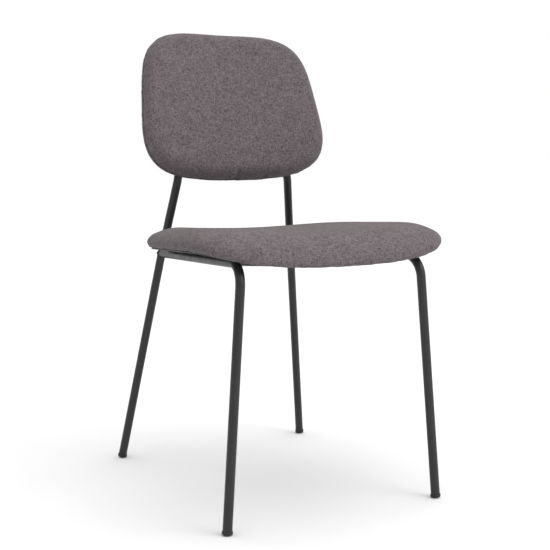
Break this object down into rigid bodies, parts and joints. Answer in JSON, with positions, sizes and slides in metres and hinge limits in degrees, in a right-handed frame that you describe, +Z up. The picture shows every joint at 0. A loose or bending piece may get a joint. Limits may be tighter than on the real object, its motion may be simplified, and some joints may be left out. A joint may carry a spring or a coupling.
{
  "type": "dining chair",
  "caption": "Upholstered dining chair with a dished seat and a rounded padded back on a slim round-tube steel frame.",
  "frame": {"origin": "on the floor under the middle of the chair", "axes": "+Z up, the sitter faces -Y, the sitter's left is +X"},
  "size_m": [0.4826, 0.5308, 0.8422],
  "materials": {
    "frame": "satin black powder coat",
    "glide": "moulded matte",
    "black_plywood": "matte black lacquer",
    "plywood": "sanded",
    "foam": "open-cell foam",
    "cover": "fine melange weave",
    "fastener": "zinc plated"
  },
  "bodies": {
    "root": {"side_tube_left": "frame", "side_tube_right": "frame", "rear_tube_left": "frame", "rear_tube_right": "frame", "cross_rail_front": "frame", "cross_rail_rear": "frame", "seat_tab_front_left": "frame", "seat_tab_front_right": "frame", "seat_tab_rear_left": "frame", "seat_tab_rear_right": "frame", "glide_front_left": "glide", "glide_front_right": "glide", "glide_rear_left": "glide", "glide_rear_right": "glide", "seat_panel": "black_plywood", "seat_foam": "foam", "seat_cover": "cover", "seat_welt": "cover", "seat_bolt_front_left": "fastener", "seat_bolt_front_right": "fastener", "seat_bolt_rear_left": "fastener", "seat_bolt_rear_right": "fastener", "seat_washer_front_left": "fastener", "seat_washer_front_right": "fastener", "seat_washer_rear_left": "fastener", "seat_washer_rear_right": "fastener", "seat_nut_front_left": "fastener", "seat_nut_front_right": "fastener", "seat_nut_rear_left": "fastener", "seat_nut_rear_right": "fastener", "back_panel": "plywood", "back_front_foam": "foam", "back_rear_foam": "foam", "back_front_cover": "cover", "back_rear_cover": "cover", "back_bolt_lower_left": "fastener", "back_bolt_lower_right": "fastener", "back_bolt_upper_left": "fastener", "back_bolt_upper_right": "fastener", "back_nut_lower_left": "fastener", "back_nut_lower_right": "fastener", "back_nut_upper_left": "fastener", "back_nut_upper_right": "fastener"}
  },
  "joints": []
}
